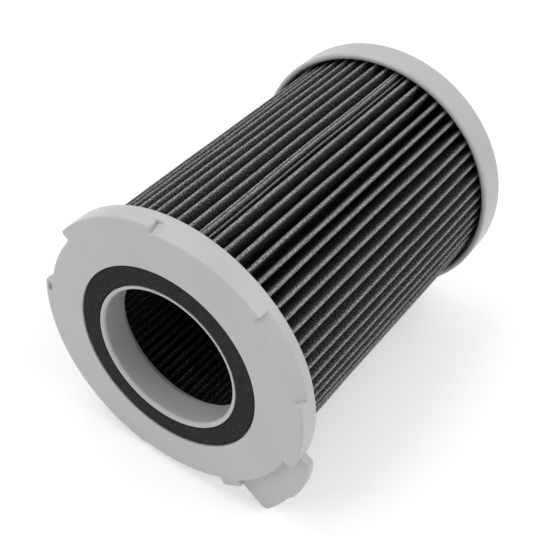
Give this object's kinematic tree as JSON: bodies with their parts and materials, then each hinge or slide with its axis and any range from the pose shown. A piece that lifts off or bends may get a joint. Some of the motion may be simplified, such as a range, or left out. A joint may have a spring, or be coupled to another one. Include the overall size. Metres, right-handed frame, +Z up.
{
  "type": "pleated filter cartridge",
  "caption": "Cylindrical pleated filter cartridge: flanged outlet end with felt seal, bayonet lobes and thumb lever, black folded media round an open core, and a closed end cap.",
  "frame": {"origin": "on the surface that the filter lies on, under the middle of its bounding box", "axes": "+Z up, -Y along the axis out of the outlet bore, +Y towards the closed cap, +X to the right for someone who looks into the outlet"},
  "size_m": [0.1434, 0.191, 0.1388],
  "materials": {
    "flange_plastic": "fine satin moulding, light neutral grey",
    "cap_plastic": "fine satin moulding, light neutral grey",
    "seal_felt": "dense dark grey felt",
    "filter_media": "black nonwoven with fine grey fibres",
    "potting": "cast dark adhesive, smooth"
  },
  "bodies": {
    "root": {"front_flange": "flange_plastic", "seal_ring": "seal_felt", "pleated_media": "filter_media", "front_potting": "potting", "rear_potting": "potting", "rear_cap": "cap_plastic"}
  },
  "joints": []
}
